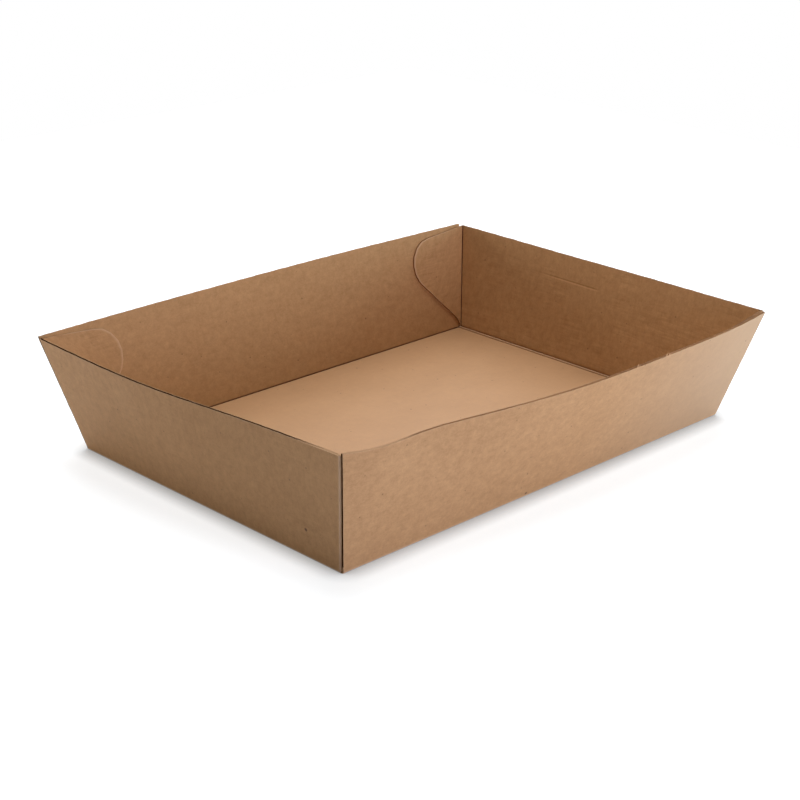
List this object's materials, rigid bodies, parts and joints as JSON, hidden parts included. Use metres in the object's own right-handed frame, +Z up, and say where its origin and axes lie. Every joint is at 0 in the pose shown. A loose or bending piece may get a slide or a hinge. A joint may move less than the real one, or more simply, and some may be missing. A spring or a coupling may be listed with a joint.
{
  "type": "cardboard tray box",
  "caption": "Open tray folded from one blank of thin corrugated kraft board, with outward-leaning walls and rounded corner tabs glued inside, for carrying or serving food and goods",
  "frame": {"origin": "on the underside of the base panel, at its middle", "axes": "+X along the long walls, +Y along the end walls, +Z up out of the open top"},
  "size_m": [0.4014, 0.3015, 0.0826],
  "materials": {
    "kraft_board": "matte unbleached kraft liner"
  },
  "bodies": {
    "root": {"tray": "kraft_board"}
  },
  "joints": []
}
